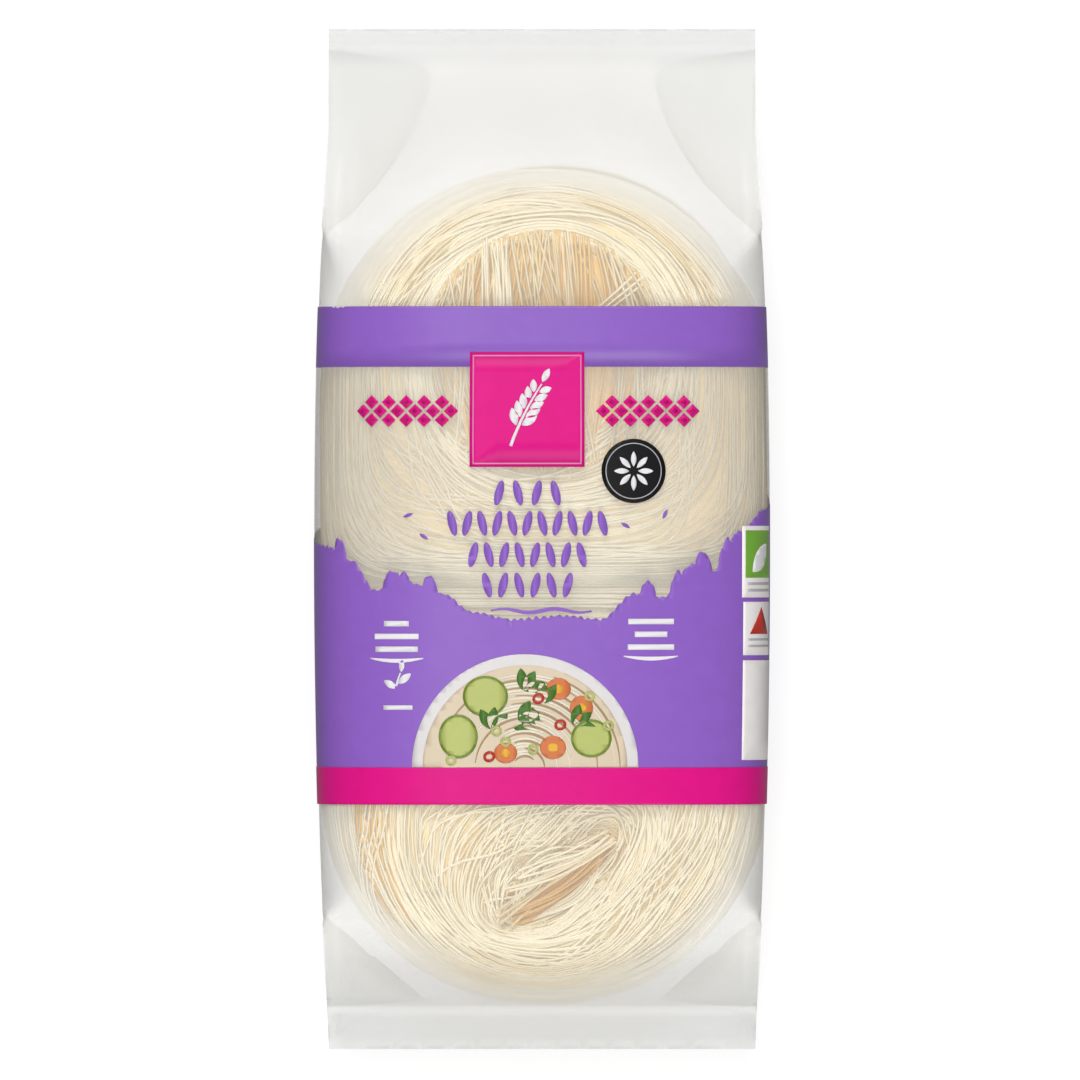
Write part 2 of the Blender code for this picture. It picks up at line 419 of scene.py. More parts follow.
def bridge_of_strands(nest, rng, start, end, level, strands, width, bow, rim=0.30):
    """Strands that run over a nest's eye: from one side of its rim (start, in degrees) to the other
    (end), at a level between the pack's middle (0) and the film (1), bowed aside in the middle."""
    paths = []
    steps = np.linspace(0, 1, 18)
    for i in range(strands):
        aside = ((i + 0.5) / strands - 0.5) * width + rng.gauss(0, 0.3 * MM)
        ends = np.radians([start + rng.gauss(0, 1.5), end + rng.gauss(0, 1.5)])
        rim_x, rim_y = nest_plan(nest, ends, np.array([rim, rim]))
        way = np.array([rim_x[1] - rim_x[0], rim_y[1] - rim_y[0]])
        out = np.array([-way[1], way[0]]) / np.hypot(*way)
        bend = (bow + rng.gauss(0, 0.5 * MM)) * np.sin(math.pi * steps)
        bend += rng.gauss(0, 0.5 * MM) * np.sin(2 * math.pi * steps)
        x = rim_x[0] + way[0] * steps + out[0] * (aside + bend)
        y = rim_y[0] + way[1] * steps + out[1] * (aside + bend)
        rise = level + rng.gauss(0, 0.015) + (RIM_LEVEL - level) * (2 * steps - 1) ** 4
        path = []
        for px, py, part in zip(x, y, rise):
            film = film_height(px, py, nest[1])
            reach = abs(film - MIDDLE_Z) - FILM_CLEARANCE
            path.append((px, py, MIDDLE_Z + math.copysign(reach * min(1.0, part), film - MIDDLE_Z)))
        paths.append(np.array(path))
    return paths


def eye_floor(nest, rng, turn, level, count, bow, rim, gaps):
    """A web of strands over a nest's eye, side by side and bowed outwards. With more gaps, from -1
    to 1, it falls into separate locks."""
    paths = []
    for i in range(count):
        place = 0.96 * (2 * (i + rng.uniform(0.3, 0.7)) / count - 1)
        if noise.noise(Vector((place * 4.5, level * 30, 0))) < gaps:
            continue
        lean = math.degrees(math.asin(place))
        height = level + rng.gauss(0, 0.03)
        start, end = turn + lean, turn + 180 - lean
        paths += bridge_of_strands(nest, rng, start, end, height, 1, 0.0, -place * bow, rim)
    return paths


def under_layer(name, seed, count, lowest_roll, highest_roll):
    """An even layer of strands on the nest's core, each once round it."""
    rng = random.Random(seed)
    nest = NESTS[name]
    paths = []
    for i in range(count):
        roll = lowest_roll + (highest_roll - lowest_roll) * (i + rng.uniform(0.2, 0.8)) / count
        start = rng.uniform(0, 2 * math.pi)
        angle = start + np.linspace(0, 2 * math.pi * 1.02, POINTS_PER_TURN + 2)
        wander = wave(angle, rng, 0.05, (1, 2, 3, 5))
        paths.append(nest_points(nest, angle, roll + wander, np.full(len(angle), 0.90 + rng.gauss(0, 0.008))))
    return paths


def loose_locks(name, seed, strand_turns, lowest_roll, highest_roll):
    """The locks on top of the under layer, from deep ones to the ones that touch the film."""
    rng = random.Random(seed)
    nest = NESTS[name]
    paths = []
    laid = 0.0
    place = rng.random()
    while laid < strand_turns:
        place = (place + 0.618) % 1.0
        roll = lowest_roll + (highest_roll - lowest_roll) * place
        depth = 0.91 + 0.09 * min(1.0, laid / strand_turns * 1.1)
        lock = lock_of_strands(nest, rng, roll, depth, rng.randint(4, 11), rng.choice((0.10, 0.22, 0.40)))
        laid += sum(len(path) for path in lock) / POINTS_PER_TURN
        paths += lock
    for stray in range(9):
        roll = rng.uniform(0.4, math.pi - 0.6)
        paths += lock_of_strands(nest, rng, roll, 1.0, rng.randint(1, 2), 0.4)
    return paths


def vermicelli(name, colour, deep, roughness, glow):
    """Dried rice paste: ivory and faintly glassy, each strand a little different from the next. The
    glow stands for the light that soaks through from strand to strand."""
    material = bpy.data.materials.new(name)
    material.use_nodes = True
    nodes, links = material.node_tree.nodes, material.node_tree.links
    shader = nodes["Principled BSDF"]
    place = nodes.new("ShaderNodeTexCoord")
    patches = nodes.new("ShaderNodeTexNoise")
    patches.inputs["Scale"].default_value = 45.0
    patches.inputs["Detail"].default_value = 1.0
    island = nodes.new("ShaderNodeNewGeometry")
    both = nodes.new("ShaderNodeMath")
    both.operation = "MULTIPLY_ADD"
    both.inputs[1].default_value = 0.5
    tone = nodes.new("ShaderNodeValToRGB")
    tone.color_ramp.elements[0].position = 0.25
    tone.color_ramp.elements[0].color = (*deep, 1.0)
    tone.color_ramp.elements[1].position = 0.70
    tone.color_ramp.elements[1].color = (*colour, 1.0)
    shader.inputs["Roughness"].default_value = roughness
    shader.inputs["IOR"].default_value = 1.45
    shader.inputs["Emission Strength"].default_value = glow
    links.new(place.outputs["Object"], patches.inputs["Vector"])
    links.new(island.outputs["Random Per Island"], both.inputs[0])
    links.new(patches.outputs["Fac"], both.inputs[2])
    links.new(both.outputs[0], tone.inputs["Fac"])
    links.new(tone.outputs["Color"], shader.inputs["Base Color"])
    links.new(tone.outputs["Color"], shader.inputs["Emission Color"])
    return material


# Lit and shaded copies of one finish: the lower the strands lie, the darker and more golden their copy, painted shade
# of the nest's depth; the glow in each is painted light.
STRAND_FINISH = vermicelli("dried_rice_strands", (0.85, 0.77, 0.57), (0.80, 0.66, 0.40), 0.42, 0.07)
UNDER_FINISH = vermicelli("under_rice_strands", (0.84, 0.73, 0.48), (0.79, 0.64, 0.35), 0.45, 0.12)
DEEP_FINISH = vermicelli("deep_rice_strands", (0.79, 0.66, 0.40), (0.73, 0.55, 0.27), 0.45, 0.07)
CORE_FINISH = vermicelli("packed_rice_strands", (0.80, 0.65, 0.36), (0.74, 0.55, 0.25), 0.6, 0.24)


def lay_nest(name, paths, finish):
    piece = new_piece(name, strands_mesh(name, paths))
    piece.data.materials.append(finish)
    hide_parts("bag")


LOCK_TURNS, UNDER_STRANDS = 340, 96
for seed, name in enumerate(NESTS):
    low, high = (-0.9, math.pi + 0.6) if NESTS[name][1] else (-math.pi - 0.3, 0.9)
    lay_nest(name + "_under", under_layer(name, seed + 31, UNDER_STRANDS, low, high), UNDER_FINISH)
    lay_nest(name, loose_locks(name, seed + 11, LOCK_TURNS, low, high), STRAND_FINISH)

# Strands in the eyes: a web that closes each from below, then a few pale locks across the front.
rng = random.Random(3)
head_nest, foot_nest = NESTS["nest_head_front"], NESTS["nest_foot_front"]
deep = []
EYE_FLOORS = (
    ("nest_head_front", (84, 104, 94, 100), (0.85, 0.88, 0.91, 0.94), 62, 0.24, 8.0 * MM, 0.04),
    ("nest_foot_front", (38, 34), (0.72, 0.76), 12, 0.10, 1.5 * MM, 0.0),
    ("nest_head_back", (14, 25, 18), (0.60, 0.68, 0.75), 34, 0.25, 4.0 * MM, -1.0),
    ("nest_foot_back", (104, 115, 108), (0.60, 0.68, 0.75), 34, 0.25, 4.0 * MM, -1.0),
)
for name, turns, levels, count, rim, bow, gaps in EYE_FLOORS:
    for turn, level in zip(turns, levels):
        deep += eye_floor(NESTS[name], rng, turn, level, count, bow, rim, gaps)
pale = []
pale += bridge_of_strands(head_nest, rng, 113, 246, 0.98, 16, 7.5 * MM, 2.0 * MM)
pale += bridge_of_strands(head_nest, rng, 80, 281, 0.86, 5, 4.0 * MM, 1.5 * MM)
for start, end, level, bow in ((38, 235, 0.95, -3.0), (62, 318, 0.92, 4.0), (140, 226, 0.92, 2.0)):
    pale += bridge_of_strands(head_nest, rng, start, end, level, 3, 3.0 * MM, bow * MM)
for start, end, level, bow in ((30, 170, 0.92, 1.5), (50, 150, 0.95, 1.0)):
    pale += bridge_of_strands(foot_nest, rng, start, end, level, 3, 2.0 * MM, bow * MM, 0.10)
# Darker locks on the nests' faces, in the deep and golden finishes, which are painted shade: (nest, start
# and end round the eye in degrees, roll, strands, and the paths that they join).
golden = []
for name, start, end, roll, strands, joined in (
    ("nest_foot_front", 150, 222, 1.18, 9, golden),
    ("nest_foot_front", 236, 292, 1.02, 5, deep),
    ("nest_head_front", 30, 76, 1.25, 6, deep),
    ("nest_head_front", 118, 160, 1.50, 5, deep),
):
    for i in range(strands):
        ends = np.radians([start + rng.uniform(-6, 6), end + rng.uniform(-6, 6)])
        angle = np.linspace(ends[0], ends[1], 24)
        sink = 0.10 * (2 * np.linspace(0, 1, 24) - 1) ** 4
        rolls = roll + (i - strands / 2) * 0.05 + wave(angle, rng, 0.02, (2, 3))
        joined.append(nest_points(NESTS[name], angle, rolls, 0.995 - sink))
# The eyes' webs and the darker locks take the deep finish, darker and more golden as painted shade of the eyes' depth.
lay_nest("eye_strands_deep", deep, DEEP_FINISH)


def eye_bed(name, level, rim, finish):
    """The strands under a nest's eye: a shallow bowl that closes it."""
    nest = NESTS[name]
    eye_x, eye_y = nest[2][:2]
    bpy.ops.mesh.primitive_grid_add(x_subdivisions=40, y_subdivisions=40, size=2.0)
    bed = bpy.context.object
    bed.name = name + "_bed"
    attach(bed, "root")
    placed = []
    for u, v, _ in mesh_points(bed):
        share = max(abs(u), abs(v))
        angle = np.array([math.atan2(v, u)])
        rim_x, rim_y = nest_plan(nest, angle, np.array([rim]))
        px = eye_x + (rim_x[0] - eye_x) * share
        py = eye_y + (rim_y[0] - eye_y) * share
        film = film_height(px, py, nest[1])
        reach = abs(film - MIDDLE_Z) - FILM_CLEARANCE
        height = level + 0.008 * noise.noise(Vector((px * 900, py * 90, 0)))
        placed.append((px, py, MIDDLE_Z + math.copysign(reach * height, film - MIDDLE_Z)))
    bed.data.vertices.foreach_set("co", np.array(placed).ravel())
    only(bed)
    wall = bed.modifiers.new("wall", "SOLIDIFY")
    wall.thickness = 1.0 * MM
    wall.offset = -1.0
    bpy.ops.object.modifier_apply(modifier="wall")
    bed.data.shade_smooth()
    bed.data.materials.append(finish)
    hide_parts("bag")


# The beds are golden sheets that close the eyes. Like the golden strands, they take darker golden copies of the finish
# that glow more: painted shade and painted light of the eyes' depth.
BED_FINISH = vermicelli("bedded_rice_strands", (0.74, 0.52, 0.20), (0.66, 0.42, 0.12), 0.6, 0.18)
GOLDEN_FINISH = vermicelli("golden_rice_strands", (0.70, 0.45, 0.14), (0.62, 0.37, 0.09), 0.6, 0.12)
eye_bed("nest_head_front", 0.84, 0.26, BED_FINISH)
eye_bed("nest_foot_front", 0.68, 0.16, GOLDEN_FINISH)
rng = random.Random(8)
bedded = eye_floor(head_nest, rng, 88, 0.86, 90, 8.0 * MM, 0.25, -1.0)
lay_nest("eye_strands_bedded", bedded, BED_FINISH)
for path in bridge_of_strands(foot_nest, rng, 38, 218, 0.71, 18, 10.0 * MM, 7.6 * MM):
    path[:, 2] = np.minimum(path[:, 2], MIDDLE_Z + 20.5 * MM)
    golden.append(path)
lay_nest("eye_strands_golden", golden, GOLDEN_FINISH)
lay_nest("eye_strands_pale", pale, STRAND_FINISH)

# The tight middle of each nest: a ring that fills the locks from inside, grooved like its strands.
RING_STEPS, SECTION_STEPS = 150, 72
for name, nest in NESTS.items():
    angle = np.linspace(0, 2 * math.pi, RING_STEPS, endpoint=False)
    roll = np.linspace(0, 2 * math.pi, SECTION_STEPS, endpoint=False)
    rings = []
    for turn in angle:
        groove = 0.005 * np.sin(roll * 24 + 1.5 * np.sin(3 * turn)) + 0.005 * np.sin(roll * 11 + 2 * turn)
        rings.append(nest_points(nest, np.full(SECTION_STEPS, turn), roll, 0.885 + groove))
    core = bpy.data.meshes.new(name + "_core")
    corners = []
    for i in range(RING_STEPS):
        for j in range(SECTION_STEPS):
            k = (j + 1) % SECTION_STEPS
            near, far = i * SECTION_STEPS, (i + 1) % RING_STEPS * SECTION_STEPS
            corners.append((near + j, far + j, far + k, near + k))
    core.from_pydata(np.concatenate(rings).tolist(), [], corners)
    core.shade_smooth()
    piece = new_piece(name + "_core", core)
    only(piece)
    bpy.ops.object.mode_set(mode="EDIT")
    bpy.ops.mesh.select_all(action="SELECT")
    bpy.ops.mesh.normals_make_consistent(inside=False)
    bpy.ops.object.mode_set(mode="OBJECT")
    # The core's darker golden finish and its glow show in the gaps between strands: painted shade and painted light.
    piece.data.materials.append(CORE_FINISH)
    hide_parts("bag")


# ---------------------------------------------------------------------------------------------
# The wrap: a sleeve of clear film printed on the outside and slipped tight round the bag's middle,
# its ends lapped and glued under the pack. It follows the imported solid's outer face.
# ---------------------------------------------------------------------------------------------
WRAP_WALL = 0.05 * MM
WRAP_SINK = 0.36 * MM
INK_STEP = 0.035 * MM
ROUND_POINTS = 600
ROUND_STATIONS = 15
FACET_SMOOTHING = 6

wrap_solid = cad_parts["wrap"].data
wrap_tree = BVHTree.FromPolygons(
    [vertex.co for vertex in wrap_solid.vertices], [face.vertices for face in wrap_solid.polygons]
)


def round_at(y):
    """The wrap's outer outline at y: evenly spaced (x, z) points from the top, clockwise from the
    foot end, and the length round it."""
    outline = []
    for turn in np.linspace(0, 2 * math.pi, 1440, endpoint=False) + 0.0004:
        out = Vector((math.sin(turn), 0, math.cos(turn)))
        hit = wrap_tree.ray_cast(Vector((0, y, MIDDLE_Z)) + out * FAR, -out)[0]
        if hit is not None:
            outline.append((hit.x, hit.z))
    outline = np.array(outline + outline[:1])
    along = np.concatenate([[0], np.cumsum(np.hypot(*np.diff(outline, axis=0).T))])
    even = np.linspace(0, along[-1], ROUND_POINTS, endpoint=False)
    spaced = np.column_stack([np.interp(even, along, outline[:, k]) for k in (0, 1)])
    spread = np.arange(-15, 16)
    weights = np.exp(-((spread / FACET_SMOOTHING) ** 2) / 2)
    weights /= weights.sum()
    return sum(w * np.roll(spaced, -s, axis=0) for w, s in zip(weights, spread)), along[-1]


STATIONS = np.linspace(WRAP_LOW.y + 0.02 * MM, WRAP_HIGH.y - 0.02 * MM, ROUND_STATIONS)
rounds = [round_at(y) for y in STATIONS]
ROUND_OUTLINES = np.array([outline for outline, _ in rounds])
ROUND_LENGTHS = np.array([length for _, length in rounds])
ROUND_LENGTH = ROUND_LENGTHS.mean()


def on_wrap(across, y, lift):
    """Places on the wrap: across is measured round it from the front's middle line, to the right
    for plus, and lift is counted out from the sleeve's face."""
    station = np.clip((y - STATIONS[0]) / (STATIONS[-1] - STATIONS[0]), 0, 1) * (ROUND_STATIONS - 1)
    low = np.minimum(station.astype(int), ROUND_STATIONS - 2)
    part = (station - low)[:, None]
    spot = np.mod(across / ROUND_LENGTH, 1.0) * ROUND_POINTS
    first = spot.astype(int) % ROUND_POINTS
    second = (first + 1) % ROUND_POINTS
    blend = (spot - np.floor(spot))[:, None]

    def outline(row):
        here, there = ROUND_OUTLINES[row, first], ROUND_OUTLINES[row, second]
        back, ahead = ROUND_OUTLINES[row, first - 3], ROUND_OUTLINES[row, (first + 4) % ROUND_POINTS]
        return here + (there - here) * blend, ahead - back

    (place_low, tangent_low), (place_high, tangent_high) = outline(low), outline(low + 1)
    place = place_low + (place_high - place_low) * part
    tangent = tangent_low + (tangent_high - tangent_low) * part
    out = np.column_stack([-tangent[:, 1], tangent[:, 0]])
    out /= np.hypot(*out.T)[:, None]
    place = place + out * (lift - WRAP_SINK)
    return np.column_stack([place[:, 0], y, place[:, 1]])


def lay_on_wrap(piece, lift, wall):
    """Bends a flat piece, drawn in metres across and along the front, round the wrap."""
    flat = mesh_points(piece)
    piece.data.vertices.foreach_set("co", on_wrap(flat[:, 0], flat[:, 1], lift).ravel())
    only(piece)
    bpy.ops.object.mode_set(mode="EDIT")
    bpy.ops.mesh.select_all(action="SELECT")
    bpy.ops.mesh.remove_doubles(threshold=0.000004)
    bpy.ops.object.mode_set(mode="OBJECT")
    skin = piece.modifiers.new("skin", "SOLIDIFY")
    skin.thickness = wall
    skin.offset = -1.0
    bpy.ops.object.modifier_apply(modifier="skin")
    piece.data.shade_smooth()
    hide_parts("wrap")


bpy.ops.mesh.primitive_grid_add(x_subdivisions=236, y_subdivisions=56, size=1.0)
sleeve = bpy.context.object
sleeve.name = "wrap_film"
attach(sleeve, "root")
bpy.ops.object.mode_set(mode="EDIT")
bpy.ops.transform.resize(value=(ROUND_LENGTH, WRAP_HIGH.y - WRAP_LOW.y, 1))
bpy.ops.transform.translate(value=(0, (WRAP_HIGH.y + WRAP_LOW.y) / 2, 0))
bpy.ops.object.mode_set(mode="OBJECT")
lay_on_wrap(sleeve, 0.0, WRAP_WALL)
# Painted shade: from 14 mm out to 54 mm out, the wrap's sides grow milkier and darker towards a grey-brown shaded
# colour.
painted_side_shade = ease((np.abs(mesh_points(sleeve)[:, 0]) - 14 * MM) / (40 * MM))
point_values(sleeve, "haze", 0.10 + 0.13 * painted_side_shade)
point_values(sleeve, "shade", painted_side_shade)
sleeve.data.materials.append(milky_film("clear_wrap_film", (0.93, 0.91, 0.85), (0.64, 0.60, 0.54)))


# ---------------------------------------------------------------------------------------------
# The print: fields of ink on the sleeve, each its own thin coat: a purple band at the head, a clear
# window, purple hills under it, a pink band at the foot, and plain marks, badges and a bowl.
# ---------------------------------------------------------------------------------------------
LIGHT_LEVEL = 1.18


def screen(red, green, blue):
    """A colour given as it looks on a screen, from 0 to 255, as a base colour under this light."""
    shares = (red / 255, green / 255, blue / 255)
    return tuple((s / 12.92 if s <= 0.04045 else ((s + 0.055) / 1.055) ** 2.4) / LIGHT_LEVEL for s in shares)


def ink(name, colour, gloss=0.3):
    """Flexo ink on film: a flat colour with the faint mottle and crackle of the film under it."""
    material = bpy.data.materials.new(name)
    material.use_nodes = True
    nodes, links = material.node_tree.nodes, material.node_tree.links
    shader = nodes["Principled BSDF"]
    place = nodes.new("ShaderNodeTexCoord")
    mottle = nodes.new("ShaderNodeTexNoise")
    mottle.inputs["Scale"].default_value = 240.0
    mottle.inputs["Detail"].default_value = 1.0
    shade = nodes.new("ShaderNodeMix")
    shade.data_type = "RGBA"
    shade.inputs["A"].default_value = (*(0.95 * part for part in colour), 1.0)
    shade.inputs["B"].default_value = (*(min(1.0, 1.05 * part) for part in colour), 1.0)
    shader.inputs["Roughness"].default_value = 0.36
    shader.inputs["Specular IOR Level"].default_value = gloss
    links.new(place.outputs["Object"], mottle.inputs["Vector"])
    links.new(mottle.outputs["Fac"], shade.inputs["Factor"])
    links.new(shade.outputs["Result"], shader.inputs["Base Color"])
    crackled(nodes, links, shader, 90.0, 0.00010)
    return material


def oval(x, y, half_x, half_y, turn=0.0, points=40):
    """A closed ring of points, in millimetres; turn is in degrees."""
    turn = math.radians(turn)
    ring = []
    for i in range(points):
        angle = 2 * math.pi * i / points
        u, v = half_x * math.cos(angle), half_y * math.sin(angle)
        ring.append((x + u * math.cos(turn) - v * math.sin(turn), y + u * math.sin(turn) + v * math.cos(turn)))
    return ring


def leaf(x, y, length, width, turn, points=12):
    """A pointed leaf from its stalk end at (x, y)."""
    turn = math.radians(turn)
    sides = [(t / points, width / 2 * math.sin(math.pi * t / points) ** 0.8) for t in range(points + 1)]
    edge = [(length * t, v) for t, v in sides] + [(length * t, -v) for t, v in sides[-2:0:-1]]
    return [(x + u * math.cos(turn) - v * math.sin(turn), y + u * math.sin(turn) + v * math.cos(turn)) for u, v in edge]


def box_outline(left, right, low, high):
    return [(left, low), (right, low), (right, high), (left, high)]


def stroke(path, widths):
    """The outline of a pen stroke along a path, with a width at each point."""
    path = np.array(path, float)
    ahead = np.gradient(path, axis=0)
    ahead /= np.hypot(*ahead.T)[:, None]
    out = np.column_stack([-ahead[:, 1], ahead[:, 0]]) * (np.array(widths) / 2)[:, None]
    return (path + out).tolist() + (path - out)[::-1].tolist()


def arc_stroke(x, y, radius, start, end, width, squash=1.0, points=24):
    """A stroke along an arc, thinning to its ends; angles in degrees."""
    angles = np.radians(np.linspace(start, end, points))
    path = np.column_stack([x + radius * np.cos(angles), y + radius * squash * np.sin(angles)])
    return stroke(path, width * (0.25 + 0.75 * np.sin(np.linspace(0.12, math.pi - 0.12, points))))


SLICE = 2.0


def printed(name, outlines, finish, layer, floor_y=None):
    """A coat of ink: outlines in millimetres, filled, cut into strips and bent round the wrap."""
    curve = bpy.data.curves.new(name, "CURVE")
    curve.dimensions = "2D"
    curve.fill_mode = "FRONT"
    for outline in outlines:
        spline = curve.splines.new("POLY")
        spline.points.add(len(outline) - 1)
        for point, (u, v) in zip(spline.points, outline):
            point.co = (u, v, 0, 1)
        spline.use_cyclic_u = True
    drawn = bpy.data.objects.new(name + "_outline", curve)
    bpy.context.scene.collection.objects.link(drawn)
    mesh = bpy.data.meshes.new_from_object(drawn.evaluated_get(bpy.context.evaluated_depsgraph_get()))
    bpy.data.objects.remove(drawn)
    bpy.data.curves.remove(curve)
    mesh.name = name
    flat = bmesh.new()
    flat.from_mesh(mesh)
    bmesh.ops.remove_doubles(flat, verts=flat.verts, dist=0.0005)
    across = [vertex.co.x for vertex in flat.verts]
    along = [vertex.co.y for vertex in flat.verts]

    def cut(place, direction, clear=False):
        everything = flat.verts[:] + flat.edges[:] + flat.faces[:]
        bmesh.ops.bisect_plane(flat, geom=everything, plane_co=place, plane_no=direction, clear_inner=clear)

    if floor_y is not None and min(along) < floor_y:
        cut((0, floor_y, 0), (0, 1, 0), clear=True)
    for line in range(math.ceil(min(across) / SLICE), math.floor(max(across) / SLICE) + 1):
        cut((line * SLICE, 0, 0), (1, 0, 0))
    for line in range(math.ceil(min(along) / 9), math.floor(max(along) / 9) + 1):
        cut((0, line * 9, 0), (0, 1, 0))
    bmesh.ops.scale(flat, vec=(MM, MM, MM), verts=flat.verts)
    for face in flat.faces:
        if face.normal.z < 0:
            face.normal_flip()
    flat.to_mesh(mesh)
    flat.free()
    piece = new_piece(name, mesh)
    lay_on_wrap(piece, layer * INK_STEP, 0.6 * INK_STEP)
    piece.data.materials.append(finish)
    return piece


PURPLE = ink("purple_ink", screen(143, 97, 197))
PINK = ink("pink_ink", screen(227, 20, 136), gloss=0.12)
LIGHT_PINK = ink("light_pink_ink", screen(228, 128, 180))
DARK_PINK = ink("dark_pink_ink", screen(186, 12, 100), gloss=0.12)
WHITE = ink("white_ink", screen(238, 236, 238))
BLACK = ink("black_ink", screen(18, 17, 20), gloss=0.2)
GREY = ink("grey_ink", screen(190, 190, 192))
PANEL_WHITE = ink("panel_white_ink", screen(255, 250, 248))

HEAD_EDGE = WRAP_HIGH.y / MM
FOOT_EDGE = WRAP_LOW.y / MM
HEAD_BAND_FOOT = 47.1
FOOT_BAND_HEAD = -62.5
HALF_ROUND = ROUND_LENGTH / 2 / MM
LAP = 0.02

printed(
    "purple_head_band", [box_outline(-HALF_ROUND, HALF_ROUND - LAP, HEAD_BAND_FOOT, HEAD_EDGE - 0.05)], PURPLE, 1
)
printed("pink_foot_band", [box_outline(-HALF_ROUND, HALF_ROUND - LAP, FOOT_EDGE + 0.05, FOOT_BAND_HEAD)], PINK, 6)

# The hills' edge: (across, height), eased from point to point, with small round trees on it.
HILLS = (
    (-126, 48), (-122, 47), (-113, 24), (-100, 3), (-75, -1), (-62, -2), (-53, -6), (-46, -14), (-36, -12),
    (-27, -15), (-19, -20), (-8, -22), (6, -21), (16, -22), (25, -15), (33, -16), (41, -7), (47, -9),
    (55, 2), (66, 8), (78, 9), (100, 13), (112, 30), (122, 47), (126, 48),
)  # fmt: skip
TREES = ((-41.5, 2.3), (-38.0, 1.7), (-30.5, 2.0), (29.0, 2.1), (36.5, 1.5), (44.5, 2.4), (50.5, 1.8), (-57.0, 2.2))


def hill_height(across):
    """The hills' height over the front, with foliage on their edge."""
    for (left, low), (right, high) in zip(HILLS, HILLS[1:]):
        if left <= across <= right:
            height = low + (high - low) * float(ease((across - left) / (right - left)))
    for middle, size in TREES:
        if abs(across - middle) < size:
            height += 1.9 * math.sqrt(size**2 - (across - middle) ** 2)
    return height + 0.5 * noise.noise(Vector((across * 0.9, 3.0, 0))) + 0.25 * math.sin(across * 3.1)


edge = [(u, hill_height(u)) for u in np.linspace(126, -126, 1080)]
edge = [(u, min(v, HEAD_BAND_FOOT + 0.5)) for u, v in edge]
hills = [(-HALF_ROUND, FOOT_BAND_HEAD - 1), (HALF_ROUND - LAP, FOOT_BAND_HEAD - 1)]
hills += [(HALF_ROUND - LAP, HEAD_BAND_FOOT + 0.5)] + edge + [(-HALF_ROUND, HEAD_BAND_FOOT + 0.5)]
printed("purple_hills", [hills], PURPLE, 2)

# The square badge: plain pink with a thin light frame and an ear of rice in white.
BADGE_X, BADGE_Y, BADGE_HALF = -4.1, 35.4, 15.7
printed(
    "badge_square",
    [box_outline(BADGE_X - BADGE_HALF, BADGE_X + BADGE_HALF, BADGE_Y - BADGE_HALF, BADGE_Y + BADGE_HALF)],
    PINK,
    3,
)


def frame_outlines(x, y, half, width):
    return [box_outline(x - h, x + h, y - h, y + h) for h in (half, half - width)]


printed("badge_frame", frame_outlines(BADGE_X, BADGE_Y, BADGE_HALF - 0.75, 0.42), LIGHT_PINK, 4)
stem = [(BADGE_X - 4.5 + 6.0 * t + 2.5 * t * t, BADGE_Y - 10.0 + 17.0 * t) for t in np.linspace(0, 1, 16)]
ear = [stroke(stem, np.linspace(0.9, 0.4, 16))]
for row in range(5):
    root = stem[5 + 2 * row]
    lean = 68 - 3 * row
    for side in (-1, 1):
        ear.append(leaf(root[0] + 0.75 * side, root[1], 5.0 - 0.35 * row, 2.3 - 0.1 * row, lean - side * 36))
ear.append(leaf(stem[-1][0] + 0.15, stem[-1][1] + 0.5, 4.2, 1.9, 62))
printed("badge_ear_of_rice", ear, WHITE, 5)

# Rows of small diamonds, a common woven border, on both sides of the badge.
PITCH, DIAMOND, ROW_Y = 4.95, 2.0, 35.0
for side, name in ((-1, "left"), (1, "right")):
    inner = BADGE_X + side * 20.8
    diamonds, centres = [], []
    for column in range(6):
        x = inner + side * column * PITCH
        spots = [(x, ROW_Y)]
        if column < 5:
            spots += [(x + side * PITCH / 2, ROW_Y + 2.45), (x + side * PITCH / 2, ROW_Y - 2.45)]
        for spot_x, spot_y in spots:
            diamonds.append(oval(spot_x, spot_y, DIAMOND, 0.96 * DIAMOND, points=4))
            centres.append(oval(spot_x, spot_y, 0.45 * DIAMOND, 0.42 * DIAMOND, points=4))
    printed(f"diamond_row_{name}", diamonds, PINK, 3)
    printed(f"diamond_hearts_{name}", centres, DARK_PINK, 4)

# A black disc with a thin grey ring and a plain eight-leaved star.
DISC_X, DISC_Y, DISC_RADIUS = 25.0, 18.6, 8.8
printed("disc", [oval(DISC_X, DISC_Y, DISC_RADIUS, DISC_RADIUS, points=64)], BLACK, 3)
rings = [oval(DISC_X, DISC_Y, radius, radius, points=64) for radius in (7.7, 7.45)]
printed("disc_ring", rings, GREY, 4)
star = [leaf(DISC_X + 1.2 * math.cos(t), DISC_Y + 1.2 * math.sin(t), 4.2, 1.5, math.degrees(t)) for t in np.arange(8) * math.pi / 4]
printed("disc_star", star, WHITE, 4)

# Four rows of upright rice grains in the middle of the window, and a pen stroke under them.
GRAIN_ROWS = ((12.6, 4, 15.4), (4.3, 11, 41.0), (-4.3, 8, 29.5), (-12.6, 6, 22.0))
grains = []
for row, (middle, count, width) in enumerate(GRAIN_ROWS):
    for i in range(count):
        x = -4.0 + width * (i / (count - 1) - 0.5)
        tilt = 90 + (14 if (i + row) % 2 else -14)
        grains.append(oval(x, middle, 3.5, 1.15, tilt, points=24))
printed("grain_rows", grains, PURPLE, 3)
swash = [(x, -19.6 + 0.5 * math.sin(x * 0.45)) for x in np.linspace(-14.0, 13.5, 40)]
printed("pen_stroke", [stroke(swash, 0.35 + 0.75 * np.sin(np.linspace(0.1, 3.0, 40)))], PURPLE, 3)
drifting = [leaf(x, y, 2.9, 1.0, turn) for x, y, turn in ((-38, 6, 20), (-33.5, 1.5, -35), (24, 3, 150), (33, 5.5, 65))]
printed("drifting_leaves", drifting, PURPLE, 3)

